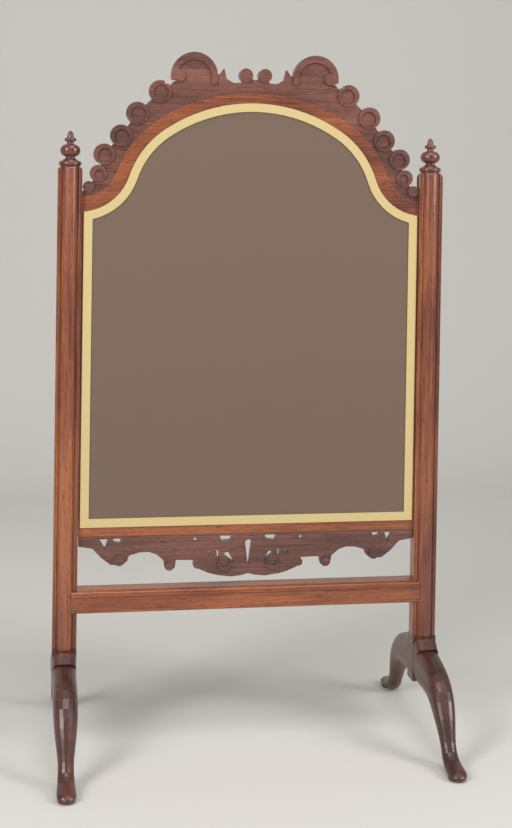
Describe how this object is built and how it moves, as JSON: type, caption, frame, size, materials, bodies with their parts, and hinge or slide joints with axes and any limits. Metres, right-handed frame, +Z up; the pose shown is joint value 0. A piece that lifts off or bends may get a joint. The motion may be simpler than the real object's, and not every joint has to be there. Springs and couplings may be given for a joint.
{
  "type": "cheval fire screen",
  "caption": "Mahogany cheval fire screen: an arched needlework panel with carved cresting and apron slides up between moulded posts on cabriole legs.",
  "frame": {"origin": "on the floor, in the middle between the four feet", "axes": "+X to the right seen from the front, +Y away from the viewer towards the back, +Z up"},
  "size_m": [0.639, 0.4472, 1.1311],
  "materials": {
    "mahogany": "waxed, worn along the edges",
    "dark_mahogany": "waxed and darkened",
    "carved_mahogany": "waxed, dark in the hollows",
    "beech": "bare",
    "pine": "bare, aged",
    "wool_needlework": "wool and silk in tent and cross stitch on canvas",
    "gimp_braid": "woven gimp with two ribbed edges",
    "linen": "plain weave",
    "brass": "dull",
    "spring_brass": "satin"
  },
  "bodies": {
    "stand": {"left_post": "mahogany", "right_post": "mahogany", "left_finial": "dark_mahogany", "right_finial": "dark_mahogany", "stretcher": "mahogany", "left_front_leg": "dark_mahogany", "left_back_leg": "dark_mahogany", "right_front_leg": "dark_mahogany", "right_back_leg": "dark_mahogany", "leg_dowels": "beech"},
    "panel": {"bottom_rail": "mahogany", "left_stile": "mahogany", "right_stile": "mahogany", "top_rail": "mahogany", "crest_left": "carved_mahogany", "crest_right": "carved_mahogany", "crest_centre": "carved_mahogany", "apron": "carved_mahogany", "strainer_top": "pine", "strainer_bottom": "pine", "strainer_left": "pine", "strainer_right": "pine", "strainer_bar": "pine", "strainer_screws": "brass", "needlework": "wool_needlework", "braid": "gimp_braid", "backing": "linen", "left_spring": "spring_brass", "right_spring": "spring_brass", "spring_screws": "brass"}
  },
  "joints": [
    {"name": "panel_slide", "type": "slide", "parent": "stand", "child": "panel", "axis": [0, 0, 1], "range_m": [0, 0.2]}
  ]
}
